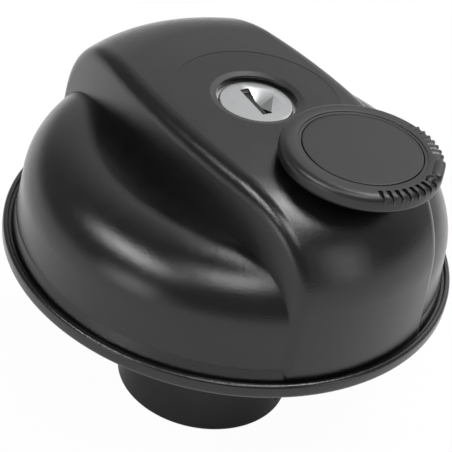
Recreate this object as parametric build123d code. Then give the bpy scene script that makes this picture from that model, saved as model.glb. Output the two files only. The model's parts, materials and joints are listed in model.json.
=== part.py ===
from build123d import *
import os
from math import cos, radians, sin, tan

os.makedirs("parts", exist_ok=True)

# Locking fuel filler cap. The plug stands on its lower end with its axis on Z, and the grip bar
# lies along X. Sizes are in millimetres.

# ---- Grip: outside form ----
RIM_RADIUS = 48.0            # largest radius, at the middle of the rim bead
RIM_HEIGHT = 37.2            # middle of the rim bead above the plug's lower end
DECK_RISE = 24.4             # highest ring of the deck beside the bar, above the rim
DECK_DISH = 1.4              # the deck falls this much towards its middle
BAR_RISE = 37.8              # top of the grip bar, above the rim
BAR_HALF_WIDTH = 21.7        # at the top of the bar's middle
BAR_SIDE_RADIUS = 160.0      # the bar's sides are wide arcs in plan
BAR_SIDE_DRAFT = 3.4         # degrees
BAR_TOP_FALL = 2.3           # degrees that the bar's top falls away from its middle
BAR_TOP_ROUND = 19.5         # large round from the bar's top to its end walls
BAR_EDGE_ROUND = 3.4
BAR_WALL_INSET = 1.6         # foot of the bar's end wall, inwards from the rim radius
BAR_WALL_DRAFT = 2.4         # degrees
DECK_ROUND = 13.2            # shoulder of the deck
DECK_WALL_INSET = 2.5        # foot of the side wall, inwards from the rim radius
DECK_WALL_DRAFT = 4.0        # degrees
WALL_FOOT_RISE = 4.3         # foot of the side wall, above the rim
FLARE_INSET = 1.65           # foot of the flare under the side wall
FLARE_RISE = 1.35
BEAD_TOP_RISE = 1.9
BEAD_DROP = 1.4              # underside of the bead, below the rim
BEAD_LIP = 1.15              # radial width of the bead's top
BEAD_ROUND = 1.1
WALL = 2.6                   # moulded wall of the grip

# ---- Seat of the dust cover and mouth of the lock ----
SEAT_RADIUS = 17.3
SEAT_DEPTH = 0.75            # below the crown of the bar's top
MOUTH_GAP = 0.75             # radial, round the lock face
MOUTH_LIP_WIDTH = 1.3        # shallow slope round the mouth
MOUTH_LIP_DEPTH = 0.3

# ---- Dust cover ----
COVER_RADIUS = 16.2
COVER_THICKNESS = 3.8
COVER_EDGE_ROUND = 1.6
COVER_EDGE_LOW_ROUND = 1.1
COVER_LIFT = 0.3             # gap under the cover, above the bar's top
COVER_PIVOT_GAP = 0.45       # between the pivot's nut and the boss of the lock housing
COVER_PIVOT_REACH = 13.8     # from the pivot to the cover's centre
COVER_OPEN_ANGLE = 14.7      # direction from the pivot to the open cover's centre
COVER_HOLLOW_RADIUS = 11.0
COVER_HOLLOW_DEPTH = 1.2
INLAY_RADIUS = 12.1
INLAY_THICKNESS = 0.8
INLAY_GAP = 0.15
INLAY_EDGE_ROUND = 0.3
INLAY_DROP = 0.05            # below the cover's top
INLAY_BORDER_WIDTH = 0.65    # shallow step round the inlay
INLAY_BORDER_DEPTH = 0.15
RIB_GROUPS = ((-23.0, 8, 6.7), (58.6, 7, 6.05))   # finger ribs: first direction, count, pitch
RIB_LENGTH = 2.1
RIB_WIDTH = 0.9
RIB_HEIGHT = 2.0
RIB_DROP = 0.1               # top of a rib, below the cover's top
RIB_ROUND = 0.4
TAB_ANGLE = 40.0             # direction of the thumb tab on the open cover
TAB_RADIUS = 1.2
TAB_LENGTH = 5.0
TAB_RISE = 0.5               # above the cover's top
TAB_NOTCH_ANGLE = 22.0       # finger notch at the tab's end
TAB_NOTCH_RADIUS = 1.2
PIVOT_STUD_RADIUS = 1.6
PIVOT_HUB_RADIUS = 1.9       # spacer round the stud, under the cover
PIVOT_NUT_RADIUS = 3.0
PIVOT_NUT_THICKNESS = 0.6
PIVOT_WASHER_THICKNESS = 0.6
PIVOT_FIT = 0.1
PIVOT_PLAY = 0.05            # along the pivot
PIVOT_STUD_END = 0.5         # stud below its nut

# ---- Lock ----
BARREL_RADIUS = 7.65
FACE_RISE = 35.8             # lock face above the rim
FACE_THICKNESS = 0.8
FACE_SKIRT = 2.3
FACE_SKIRT_WALL = 0.35
FACE_EDGE_ROUND = 0.35
FACE_GAP = 0.05              # between the cap's skirt and the barrel
KEYWAY_ANGLE = -6.0
KEYWAY_LENGTH = 9.4
KEYWAY_WIDTH = 2.2
SCOOP_RADIUS = 4.8           # pressed hollow beside the keyway, at the lock face
SCOOP_DEPTH = 2.1
SCOOP_ALONG = -0.4           # its centre, along and across the keyway
SCOOP_ACROSS = -0.2
SCOOP_WALL = 0.35
SCOOP_GAP = 0.1              # under the pressed hollow
HOUSING_WALL = 2.15          # round the barrel
HOUSING_FOOT_RADIUS = 16.0
HOUSING_FOOT_WIDTH = 21.0
HOUSING_FOOT_FLOOR = 1.4     # under the latch tunnel
HOUSING_BOSS_WALL = 1.7
HOUSING_BOSS_GAP = 0.1
CHAMBER_DEPTH = 1.35         # circlip chamber, outwards from the barrel
HOUSING_EAR_REACH = 2.8      # from the boss to the middle of a screw ear
HOUSING_EAR_RADIUS = 3.0
BORE_FIT = 0.08              # radial running clearance of the barrel
BARREL_TURN = 90.0
CRANK_THROW = 2.2
CRANK_PIN_RADIUS = 1.4
CIRCLIP_THICKNESS = 0.8
CIRCLIP_REACH = 0.95         # outwards from the barrel
CIRCLIP_GROOVE_DEPTH = 1.05
CIRCLIP_OPENING = 3.6
CIRCLIP_PLAY = 0.1
WAFER_COUNT = 5
WAFER_PITCH = 1.6
WAFER_THICKNESS = 1.0
WAFER_WIDTH = 6.0
WAFER_CODES = (0.4, -0.2, 0.2, -0.4, 0.0)   # offset of each wafer's window
WAFER_FIT = 0.06
WAFER_TRIM = 0.1             # ends of a wafer, inside the barrel
WAFER_GROOVE_DEPTH = 0.95    # grooves of the housing, outwards from the barrel
WAFER_GROOVE_PLAY = 0.5
SHUTTER_THICKNESS = 0.5
SHUTTER_PIN_RADIUS = 0.4
SHUTTER_PIN_LENGTH = 10.4
SHUTTER_PIN_OFFSET = -2.0    # across the keyway
SHUTTER_PIN_FIT = 0.06
SHUTTER_HUB_RADIUS = 0.75
SHUTTER_EDGE_GAP = 0.25      # inside the keyway's edge
SHUTTER_END_GAP = 0.3

# ---- Free-wheel between grip and plug ----
LATCH_WIDTH = 11.0
LATCH_HALF_LENGTH = 14.0
LATCH_THICKNESS = 2.4
LATCH_NOSE_WIDTH = 4.2
LATCH_NOSE_ROUND = 0.8
LATCH_FIT = 0.15
RING_RADIUS = 26.0
RING_CROWN_RADIUS = 23.0     # inside of the notched crown
RING_BASE_THICKNESS = 2.5
RING_CROWN_HEIGHT = 3.3      # above the ring's base
RING_BORE = 16.9
NOTCH_COUNT = 12
NOTCH_WIDTH = 5.2
PLATE_RADIUS = 40.6
PLATE_THICKNESS = 2.0
PLATE_GAP = 1.0              # room for the wave washer
WAVE_INNER_RADIUS = 21.6
WAVE_OUTER_RADIUS = 25.6
WAVE_THICKNESS = 0.4
POST_COUNT = 4
POST_CIRCLE = 35.0
POST_RADIUS = 3.0
COLLAR_RADIUS = 21.0
COLLAR_FIT = 0.3

# ---- Screws ----
SCREW_FIT = 0.05             # radial, between a screw and its hole
HOUSING_SCREW_RADIUS = 1.25
HOUSING_SCREW_HEAD = 2.6
HOUSING_SCREW_LENGTH = 9.8
PLATE_SCREW_RADIUS = 1.3
PLATE_SCREW_HEAD = 2.7
PLATE_SCREW_LENGTH = 8.0
RING_SCREW_COUNT = 3
RING_SCREW_CIRCLE = 19.2
RING_SCREW_RADIUS = 1.0
RING_SCREW_HEAD = 2.1
RING_SCREW_LENGTH = 6.4
HEAD_HEIGHT = 1.6
RECESS_WIDTH = 0.7           # cross recess
RECESS_DEPTH = 0.8

# ---- Plug ----
PLUG_RADIUS = 19.1
PLUG_WALL = 2.1
PLUG_EDGE_ROUND = 0.9
FLANGE_RADIUS = 31.0
FLANGE_HEIGHT = 45.6
FLANGE_THICKNESS = 2.2
SEAL_THICKNESS = 4.0
SEAL_RADIUS = 29.5
WINDOW_ANGLE = 31.0
WINDOW_WIDTH = 7.4
WINDOW_LOW = 3.6
WINDOW_HIGH = 10.0
BRACKET_THICKNESS = 1.6
BRACKET_BORE = 12.0
EAR_WIDTH = 6.4
EAR_REACH = 1.3              # beyond the plug's outside
EAR_ROUND = 1.0

# ---- Valve ----
VALVE_FLOOR = 20.0
VALVE_FLOOR_THICKNESS = 2.0
VALVE_BORE = 6.5
VALVE_DISC_RADIUS = 9.2
CAGE_HEIGHT = 36.5           # underside of the cage's roof
CAGE_WALL = 1.4
CUP_WALL = 1.6
CUP_LOW = 1.0
VENT_COUNT = 6
CUP_VENT_RADIUS = 2.0
CUP_VENT_CIRCLE = 9.5
CAGE_VENT_RADIUS = 2.2
CAGE_VENT_CIRCLE = 11.6
GASKET_INNER_RADIUS = 5.2
VALVE_GASKET_THICKNESS = 1.2
VALVE_DISC_THICKNESS = 1.4
PRESSURE_SPRING_RADIUS = 7.6
PRESSURE_WIRE_RADIUS = 0.5
POPPET_RADIUS = 4.2
POPPET_STEM_RADIUS = 1.2
POPPET_TOP = 31.0
CLIP_RADIUS = 3.2
CLIP_THICKNESS = 0.6
VACUUM_SPRING_RADIUS = 2.1
VACUUM_WIRE_RADIUS = 0.25
PRESS_GAP = 0.05             # round the parts pressed into the plug

# ---- Sizes and levels that follow ----
BAR_TOP = RIM_HEIGHT + BAR_RISE
DECK_TOP = RIM_HEIGHT + DECK_RISE
SEAT_LEVEL = BAR_TOP - SEAT_DEPTH
CEILING = BAR_TOP - WALL
FACE_LEVEL = RIM_HEIGHT + FACE_RISE
FACE_UNDERSIDE = FACE_LEVEL - FACE_THICKNESS

MOUTH_RADIUS = BARREL_RADIUS + MOUTH_GAP
HOUSING_RADIUS = BARREL_RADIUS + HOUSING_WALL
BOSS_BORE = HOUSING_RADIUS + HOUSING_BOSS_GAP
BOSS_RADIUS = BOSS_BORE + HOUSING_BOSS_WALL
HOUSING_EAR_Y = BOSS_RADIUS + HOUSING_EAR_REACH
CHAMBER_RADIUS = BARREL_RADIUS + CHAMBER_DEPTH
CIRCLIP_RADIUS = BARREL_RADIUS + CIRCLIP_REACH
CIRCLIP_GROOVE_RADIUS = BARREL_RADIUS - CIRCLIP_GROOVE_DEPTH
SCOOP_SPHERE = (SCOOP_RADIUS**2 + SCOOP_DEPTH**2) / (2 * SCOOP_DEPTH)

COVER_PIVOT_X = BOSS_RADIUS + COVER_PIVOT_GAP + PIVOT_NUT_RADIUS
COVER_LOW = BAR_TOP + COVER_LIFT
COVER_TOP = COVER_LOW + COVER_THICKNESS
COVER_CENTRE_X = COVER_PIVOT_X + COVER_PIVOT_REACH * cos(radians(COVER_OPEN_ANGLE))
COVER_CENTRE_Y = COVER_PIVOT_REACH * sin(radians(COVER_OPEN_ANGLE))
WASHER_LOW = CEILING - PIVOT_WASHER_THICKNESS
NUT_LOW = WASHER_LOW - PIVOT_PLAY - PIVOT_NUT_THICKNESS

FLANGE_TOP = FLANGE_HEIGHT + FLANGE_THICKNESS
PLATE_LOW = FLANGE_TOP + 0.6
PLATE_TOP = PLATE_LOW + PLATE_THICKNESS
RING_LOW = PLATE_TOP + PLATE_GAP
RING_BASE_TOP = RING_LOW + RING_BASE_THICKNESS
RING_TOP = RING_BASE_TOP + RING_CROWN_HEIGHT

LATCH_LOW = RING_BASE_TOP + 0.4
LATCH_TOP = LATCH_LOW + LATCH_THICKNESS
LATCH_NOSE_X = RING_CROWN_RADIUS - 0.6
CRANK_X = CRANK_THROW * cos(radians(90 + BARREL_TURN / 2))
CRANK_Y = CRANK_THROW * sin(radians(90 + BARREL_TURN / 2))

FOOT_LOW = LATCH_LOW - 0.1 - HOUSING_FOOT_FLOOR
CHAMBER_LOW = LATCH_TOP + LATCH_FIT
CHAMBER_TOP = CHAMBER_LOW + 2.55
BARREL_LOW = CHAMBER_LOW + 0.55
EAR_LOW = CHAMBER_LOW + 1.75
EAR_TOP = EAR_LOW + 2.3
CIRCLIP_LOW = CHAMBER_TOP - CIRCLIP_PLAY - CIRCLIP_THICKNESS
HOUSING_TOP = CEILING - HOUSING_BOSS_GAP

WAFER_LOW = CHAMBER_TOP + 0.9
WAFER_TOP = WAFER_LOW + (WAFER_COUNT - 1) * WAFER_PITCH + WAFER_THICKNESS
SKIRT_LOW = FACE_UNDERSIDE - FACE_SKIRT
CAVITY_LOW = WAFER_TOP + 0.2
SHUTTER_LOW = FACE_UNDERSIDE - 0.15 - SHUTTER_THICKNESS
SHUTTER_PIN_LEVEL = SHUTTER_LOW - 0.2

SEAL_LOW = FLANGE_HEIGHT - SEAL_THICKNESS
PLUG_BORE = PLUG_RADIUS - PLUG_WALL
LEDGE_BORE = PLUG_BORE - 1.0
BRACKET_TOP = WINDOW_HIGH - 0.2
BRACKET_LOW = BRACKET_TOP - BRACKET_THICKNESS
VALVE_SEAT = VALVE_FLOOR + VALVE_FLOOR_THICKNESS
VALVE_DISC_LOW = VALVE_SEAT + VALVE_GASKET_THICKNESS
VALVE_DISC_TOP = VALVE_DISC_LOW + VALVE_DISC_THICKNESS
CLIP_LOW = POPPET_TOP - 0.8


# ---- Helpers ----
def disc(radius, low, high, x=0.0, y=0.0):
    """Upright cylinder between two levels."""
    base = (Align.CENTER, Align.CENTER, Align.MIN)
    return Pos(x, y, low) * Cylinder(radius, high - low, align=base)


def tube(outer, inner, low, high, x=0.0, y=0.0):
    """Upright ring between two levels."""
    return disc(outer, low, high, x, y) - disc(inner, low - 1, high + 1, x, y)


def block(length, width, low, high, x=0.0, y=0.0):
    """Upright block centred on x and y."""
    base = (Align.CENTER, Align.CENTER, Align.MIN)
    return Pos(x, y, low) * Box(length, width, high - low, align=base)


def turned(corners, rounds):
    """Solid of revolution about Z from a rounded half section of (radius, height) corners."""
    outline = FilletPolyline(*corners, radius=rounds, close=True)
    return revolve(Plane.XZ * make_face(outline), Axis.Z)


def coil(mean_radius, wire_radius, low, high, turns):
    """Compression spring of eight-sided wire between two levels."""
    height = high - low - 2 * wire_radius
    start = (0, 0, low + wire_radius)
    path = Helix(pitch=height / turns, height=height, radius=mean_radius, center=start)
    section = Plane(origin=path @ 0, z_dir=path % 0) * RegularPolygon(wire_radius, 8)
    return sweep(section, path=path, is_frenet=True)


def around(count, radius, start=0.0):
    """Evenly spaced places on a circle."""
    return PolarLocations(radius, count, start_angle=start)


def along_keyway(shape):
    """Turn a shape drawn along X to the direction of the keyway."""
    return Rot(0, 0, KEYWAY_ANGLE) * shape


def on_cover(shape):
    """Carry a shape drawn on the axis to the centre of the open cover."""
    return Pos(COVER_CENTRE_X, COVER_CENTRE_Y, 0) * shape


def screw(head_radius, shaft_radius, length, countersunk=False):
    """Cross-recessed screw with its head on top: the seat of the head is at the origin."""
    base = (Align.CENTER, Align.CENTER, Align.MIN)
    if countersunk:
        depth = head_radius - shaft_radius
        head = Pos(0, 0, -depth) * Cone(shaft_radius, head_radius, depth, align=base)
        top = 0.0
    else:
        corners = [(0, 0), (head_radius, 0), (head_radius, HEAD_HEIGHT), (0, HEAD_HEIGHT)]
        head = turned(corners, [0, 0, HEAD_HEIGHT * 0.6, 0])
        top = HEAD_HEIGHT
    shaft = disc(shaft_radius, -length, 0)
    slot = block(head_radius * 1.1, RECESS_WIDTH, top - RECESS_DEPTH, top + 1)
    return head + shaft - slot - Rot(0, 0, 90) * slot


# ---- Grip ----
def bar_prism(inset, low, top):
    """Upright body of the bar: drafted sides that are wide arcs in plan."""
    radius = BAR_SIDE_RADIUS - inset
    offset = BAR_SIDE_RADIUS - BAR_HALF_WIDTH
    spread = (top - low) * tan(radians(BAR_SIDE_DRAFT))
    base = (Align.CENTER, Align.CENTER, Align.MIN)
    side = Pos(0, 0, low) * Cone(radius + spread, radius, top - low, align=base)
    return (Pos(0, offset) * side) & (Pos(0, -offset) * side)


def bar_form(inset):
    """Grip bar: the upright body cut to length with a large round over each end."""
    foot = RIM_RADIUS - BAR_WALL_INSET - inset
    low = RIM_HEIGHT + (WALL_FOOT_RISE + WALL if inset else BEAD_TOP_RISE - 1)
    top = BAR_TOP - inset
    shoulder = foot - (top - low) * sin(radians(BAR_WALL_DRAFT))
    edge = top - shoulder * tan(radians(BAR_TOP_FALL))
    corners = [(0, low), (foot, low), (shoulder, edge), (0, top)]
    ends = turned(corners, [0, 0, BAR_TOP_ROUND - inset, 0])
    return ends & bar_prism(inset, low, BAR_TOP)


def deck_form(inset):
    """Round body under the bar: dished deck, shoulder, side wall and its flared foot."""
    wall_foot = RIM_RADIUS - DECK_WALL_INSET - inset
    foot_level = RIM_HEIGHT + WALL_FOOT_RISE
    flare = RIM_RADIUS - FLARE_INSET - inset
    flare_level = RIM_HEIGHT + FLARE_RISE
    low = RIM_HEIGHT - BEAD_DROP - (1 if inset else 0)
    top = DECK_TOP - inset
    shoulder = wall_foot - (top - foot_level) * sin(radians(DECK_WALL_DRAFT))
    corners = [
        (0, low), (flare, low), (flare, flare_level), (wall_foot, foot_level),
        (shoulder, top + DECK_DISH / 3), (0, top - DECK_DISH),
    ]
    return turned(corners, [0, 0, 0, 0.4, DECK_ROUND - inset, 0])


def rim_bead():
    """Rounded bead round the rim."""
    low = RIM_HEIGHT - BEAD_DROP
    top = RIM_HEIGHT + BEAD_TOP_RISE
    inner = RIM_RADIUS - BEAD_LIP - 0.9
    corners = [
        (inner, low), (RIM_RADIUS, low), (RIM_RADIUS, top), (RIM_RADIUS - BEAD_LIP, top),
        (RIM_RADIUS - BEAD_LIP, top - 0.6), (inner, top - 0.6),
    ]
    return turned(corners, [0, BEAD_ROUND, BEAD_LIP * 0.6, 0.3, 0, 0])


def grip_outside():
    """Filled outside form of the grip."""
    bar = bar_form(0)
    level = RIM_HEIGHT + BEAD_TOP_RISE + 1
    sides = bar.faces().filter_by(lambda face: abs(face.center().Y) > 0.75 * BAR_HALF_WIDTH)
    bar = fillet(sides.edges().filter_by(lambda edge: edge.center().Z > level), BAR_EDGE_ROUND)
    return deck_form(0) + bar + rim_bead()


def screw_posts(outside):
    """Four posts for the retaining plate, trimmed to the grip's outside."""
    posts = [place * disc(POST_RADIUS, PLATE_TOP, DECK_TOP) for place in around(POST_COUNT, POST_CIRCLE, 45)]
    return [post & outside for post in posts]


def grip_body():
    """Moulded grip: shell, lock boss, screw posts, seat and mouth."""
    outside = grip_outside()
    shell = outside - deck_form(WALL) - bar_form(WALL)
    shell += tube(BOSS_RADIUS, BOSS_BORE, EAR_TOP, CEILING + 0.5)
    for y in (-HOUSING_EAR_Y, HOUSING_EAR_Y):
        pilot = HOUSING_SCREW_RADIUS + SCREW_FIT
        shell += tube(HOUSING_EAR_RADIUS, pilot, EAR_TOP, CEILING + 0.5, y=y)
    for post in screw_posts(outside):
        shell += post
    for place in around(POST_COUNT, POST_CIRCLE, 45):
        pilot = PLATE_SCREW_RADIUS + SCREW_FIT
        shell -= place * disc(pilot, PLATE_TOP - 1, PLATE_LOW + PLATE_SCREW_LENGTH + 0.4)
    shell -= disc(BOSS_BORE, CEILING - 2, CEILING)
    spot_face = disc(PIVOT_NUT_RADIUS + 0.6, CEILING - 2, CEILING, x=COVER_PIVOT_X)
    shell -= spot_face - disc(BOSS_RADIUS, CEILING - 3, CEILING + 1)
    shell -= disc(SEAT_RADIUS, SEAT_LEVEL, BAR_TOP + 1)
    shell -= disc(MOUTH_RADIUS, CEILING - 1, BAR_TOP)
    base = (Align.CENTER, Align.CENTER, Align.MAX)
    lip = Cone(MOUTH_RADIUS, MOUTH_RADIUS + MOUTH_LIP_WIDTH, MOUTH_LIP_DEPTH, align=base)
    shell -= Pos(0, 0, SEAT_LEVEL) * lip
    shell -= disc(PIVOT_STUD_RADIUS + PIVOT_FIT, CEILING - 1, BAR_TOP, x=COVER_PIVOT_X)
    return shell


# ---- Dust cover ----
def finger_ribs():
    """Two groups of short ribs over the cover's rounded edge."""
    top = COVER_TOP - RIB_DROP
    rib = block(RIB_LENGTH, RIB_WIDTH, top - RIB_HEIGHT, top, x=COVER_RADIUS - RIB_LENGTH / 2)
    outer = rib.edges().filter_by(Axis.Y).group_by(Axis.X)[-1].sort_by(Axis.Z)[-1]
    rib = fillet(outer, RIB_ROUND)
    ribs = []
    for first, count, pitch in RIB_GROUPS:
        ribs += [Rot(0, 0, first + index * pitch) * rib for index in range(count)]
    return ribs


def thumb_tab():
    """Rounded ridge on the cover's edge."""
    level = COVER_TOP - TAB_RADIUS + TAB_RISE
    length = TAB_LENGTH + 2 * TAB_RADIUS
    bar = Rot(90, 0, 0) * Cylinder(TAB_RADIUS, length)
    ridge = fillet(bar.edges().filter_by(GeomType.CIRCLE), TAB_RADIUS * 0.9)
    return Rot(0, 0, TAB_ANGLE) * Pos(COVER_RADIUS - TAB_RADIUS, 0, level) * ridge


def dust_cover():
    """Swinging cover with its pivot stud moulded on."""
    corners = [(0, COVER_LOW), (COVER_RADIUS, COVER_LOW), (COVER_RADIUS, COVER_TOP), (0, COVER_TOP)]
    plate = turned(corners, [0, COVER_EDGE_LOW_ROUND, COVER_EDGE_ROUND, 0])
    for rib in finger_ribs():
        plate += rib
    plate -= Rot(0, 0, TAB_NOTCH_ANGLE) * Pos(COVER_RADIUS, 0, COVER_TOP) * Sphere(TAB_NOTCH_RADIUS)
    plate += thumb_tab()
    plate -= disc(INLAY_RADIUS + INLAY_BORDER_WIDTH, COVER_TOP - INLAY_BORDER_DEPTH, COVER_TOP + 1)
    plate -= disc(INLAY_RADIUS, COVER_TOP - INLAY_THICKNESS, COVER_TOP)
    plate -= disc(COVER_HOLLOW_RADIUS, COVER_LOW - 1, COVER_LOW + COVER_HOLLOW_DEPTH)
    cover = on_cover(plate)
    cover += disc(PIVOT_HUB_RADIUS, SEAT_LEVEL + PIVOT_PLAY, COVER_LOW + 1, x=COVER_PIVOT_X)
    cover += disc(PIVOT_STUD_RADIUS, NUT_LOW - PIVOT_STUD_END, SEAT_LEVEL + 1, x=COVER_PIVOT_X)
    return cover


def cover_inlay():
    """Round plate let into the top of the cover."""
    radius = INLAY_RADIUS - INLAY_GAP
    low = COVER_TOP - INLAY_THICKNESS
    top = COVER_TOP - INLAY_DROP
    return on_cover(turned([(0, low), (radius, low), (radius, top), (0, top)], [0, 0, INLAY_EDGE_ROUND, 0]))


def cover_washer():
    """Friction washer under the pivot."""
    bore = PIVOT_STUD_RADIUS + 2 * PIVOT_FIT
    return tube(PIVOT_NUT_RADIUS, bore, WASHER_LOW, CEILING, x=COVER_PIVOT_X)


def cover_push_nut():
    """Push-on nut that holds the cover's stud."""
    high = NUT_LOW + PIVOT_NUT_THICKNESS
    return tube(PIVOT_NUT_RADIUS, PIVOT_STUD_RADIUS, NUT_LOW, high, x=COVER_PIVOT_X)


# ---- Lock ----
def lock_housing():
    """Cast housing: barrel bore, wafer grooves, screw ears and a foot that guides the latch."""
    body = disc(HOUSING_RADIUS, EAR_LOW, HOUSING_TOP)
    body += disc(BOSS_RADIUS - HOUSING_BOSS_GAP, EAR_LOW, EAR_TOP)
    body += block(2 * HOUSING_EAR_RADIUS, 2 * HOUSING_EAR_Y, EAR_LOW, EAR_TOP)
    for y in (-HOUSING_EAR_Y, HOUSING_EAR_Y):
        body += disc(HOUSING_EAR_RADIUS, EAR_LOW, EAR_TOP, y=y)
    foot = disc(HOUSING_FOOT_RADIUS, FOOT_LOW, EAR_LOW + 0.5)
    body += foot & block(3 * HOUSING_FOOT_RADIUS, HOUSING_FOOT_WIDTH, FOOT_LOW, EAR_LOW + 0.5)
    body -= disc(BARREL_RADIUS + BORE_FIT, CHAMBER_LOW, HOUSING_TOP + 1)
    body -= disc(CHAMBER_RADIUS, FOOT_LOW - 1, CHAMBER_TOP)
    tunnel_width = LATCH_WIDTH + 2 * LATCH_FIT
    body -= block(3 * HOUSING_FOOT_RADIUS, tunnel_width, FOOT_LOW + HOUSING_FOOT_FLOOR, CHAMBER_LOW)
    groove_low = WAFER_LOW - WAFER_GROOVE_PLAY
    groove_high = WAFER_TOP + WAFER_GROOVE_PLAY
    length = 2 * (BARREL_RADIUS + WAFER_GROOVE_DEPTH)
    groove = block(length, WAFER_WIDTH + WAFER_GROOVE_PLAY, groove_low, groove_high)
    body -= along_keyway(groove)
    body -= along_keyway(Rot(0, 0, 90) * groove)
    for y in (-HOUSING_EAR_Y, HOUSING_EAR_Y):
        body -= disc(HOUSING_SCREW_RADIUS + SCREW_FIT, EAR_LOW - 1, EAR_TOP + 1, y=y)
    return body


def housing_screws():
    """Two screws that hold the lock housing up in the grip."""
    driven_up = Rot(180, 0, 0) * screw(HOUSING_SCREW_HEAD, HOUSING_SCREW_RADIUS, HOUSING_SCREW_LENGTH)
    return [Pos(0, y, EAR_LOW) * driven_up for y in (-HOUSING_EAR_Y, HOUSING_EAR_Y)]


def lock_barrel():
    """Turning barrel with its key slot, wafer slots, shutter cavity and crank pin."""
    core = disc(BARREL_RADIUS, BARREL_LOW, SKIRT_LOW)
    core += disc(BARREL_RADIUS - FACE_SKIRT_WALL - FACE_GAP, SKIRT_LOW, FACE_UNDERSIDE - FACE_GAP)
    groove_low = CIRCLIP_LOW - CIRCLIP_PLAY / 2
    groove_high = groove_low + CIRCLIP_THICKNESS + CIRCLIP_PLAY
    core -= tube(BARREL_RADIUS + 1, CIRCLIP_GROOVE_RADIUS, groove_low, groove_high)
    core += disc(CRANK_PIN_RADIUS, LATCH_LOW + 0.3, BARREL_LOW + 0.5, x=CRANK_X, y=CRANK_Y)
    core -= along_keyway(block(KEYWAY_LENGTH, KEYWAY_WIDTH, CHAMBER_TOP + 0.6, FACE_LEVEL))
    core -= along_keyway(shutter_cavity() + scoop(SCOOP_WALL + SCOOP_GAP))
    pin = Rot(0, 90, 0) * Cylinder(SHUTTER_PIN_RADIUS, SHUTTER_PIN_LENGTH)
    core -= along_keyway(Pos(0, SHUTTER_PIN_OFFSET, SHUTTER_PIN_LEVEL) * pin)
    for index in range(WAFER_COUNT):
        low = WAFER_LOW + index * WAFER_PITCH - WAFER_FIT
        high = low + WAFER_THICKNESS + 2 * WAFER_FIT
        core -= along_keyway(block(3 * BARREL_RADIUS, WAFER_WIDTH + 2 * WAFER_FIT, low, high))
    return core


def shutter_cavity():
    """Room for the shutter behind the lock face, drawn along X."""
    low_side = SHUTTER_PIN_OFFSET - SHUTTER_HUB_RADIUS - 0.15
    high_side = KEYWAY_WIDTH / 2 + 0.3
    width = high_side - low_side
    return block(KEYWAY_LENGTH + 0.2, width, CAVITY_LOW, FACE_LEVEL, y=(low_side + high_side) / 2)


def scoop(growth):
    """Spherical hollow on one side of the keyway, drawn along X and grown by a wall's thickness."""
    centre = FACE_LEVEL - SCOOP_DEPTH + SCOOP_SPHERE
    ball = Pos(SCOOP_ALONG, SCOOP_ACROSS, centre) * Sphere(SCOOP_SPHERE + growth)
    width = BARREL_RADIUS
    return ball & block(2 * BARREL_RADIUS, width, SKIRT_LOW, FACE_LEVEL, y=(KEYWAY_WIDTH + width) / 2)


def barrel_face():
    """Pressed steel cap over the barrel, with the keyway and a finger scoop beside it."""
    cup = disc(BARREL_RADIUS, SKIRT_LOW, FACE_LEVEL)
    edge = cup.edges().filter_by(GeomType.CIRCLE).sort_by(Axis.Z)[-1]
    cup = fillet(edge, FACE_EDGE_ROUND)
    cup -= disc(BARREL_RADIUS - FACE_SKIRT_WALL, SKIRT_LOW - 1, FACE_UNDERSIDE)
    cup += along_keyway(scoop(SCOOP_WALL))
    cup -= along_keyway(scoop(0))
    return cup - along_keyway(block(KEYWAY_LENGTH, KEYWAY_WIDTH, FACE_UNDERSIDE - 1, FACE_LEVEL + 1))


def barrel_circlip():
    """Open spring ring that keeps the barrel in its housing."""
    bore = CIRCLIP_GROOVE_RADIUS + PRESS_GAP
    ring = tube(CIRCLIP_RADIUS, bore, CIRCLIP_LOW, CIRCLIP_LOW + CIRCLIP_THICKNESS)
    width = 2 * (CIRCLIP_RADIUS - CIRCLIP_GROOVE_RADIUS)
    return ring - block(width, CIRCLIP_OPENING, CIRCLIP_LOW - 1, CIRCLIP_LOW + 2, x=-CIRCLIP_RADIUS)


def key_shutter():
    """Flap behind the keyway that swings down when the key goes in."""
    length = KEYWAY_LENGTH - 2 * SHUTTER_END_GAP
    high_side = KEYWAY_WIDTH / 2 - SHUTTER_EDGE_GAP
    width = high_side - SHUTTER_PIN_OFFSET
    middle = (SHUTTER_PIN_OFFSET + high_side) / 2
    flap = block(length, width, SHUTTER_LOW, SHUTTER_LOW + SHUTTER_THICKNESS, y=middle)
    hub = Pos(0, SHUTTER_PIN_OFFSET, SHUTTER_PIN_LEVEL) * Rot(0, 90, 0) * Cylinder(SHUTTER_HUB_RADIUS, length)
    hole = Rot(0, 90, 0) * Cylinder(SHUTTER_PIN_RADIUS + SHUTTER_PIN_FIT, 2 * length)
    return along_keyway(flap + hub - Pos(0, SHUTTER_PIN_OFFSET, SHUTTER_PIN_LEVEL) * hole)


def shutter_pin():
    """Hinge pin of the shutter."""
    pin = Rot(0, 90, 0) * Cylinder(SHUTTER_PIN_RADIUS, SHUTTER_PIN_LENGTH)
    return along_keyway(Pos(0, SHUTTER_PIN_OFFSET, SHUTTER_PIN_LEVEL) * pin)


def wafer(index):
    """One sliding wafer of the barrel, with its window offset by its code."""
    low = WAFER_LOW + index * WAFER_PITCH
    high = low + WAFER_THICKNESS
    plate = disc(BARREL_RADIUS - WAFER_TRIM, low, high) & block(3 * BARREL_RADIUS, WAFER_WIDTH, low, high)
    window = block(KEYWAY_LENGTH + 0.8, KEYWAY_WIDTH + 0.2, low - 1, high + 1, x=WAFER_CODES[index])
    return along_keyway(plate - window)


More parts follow.
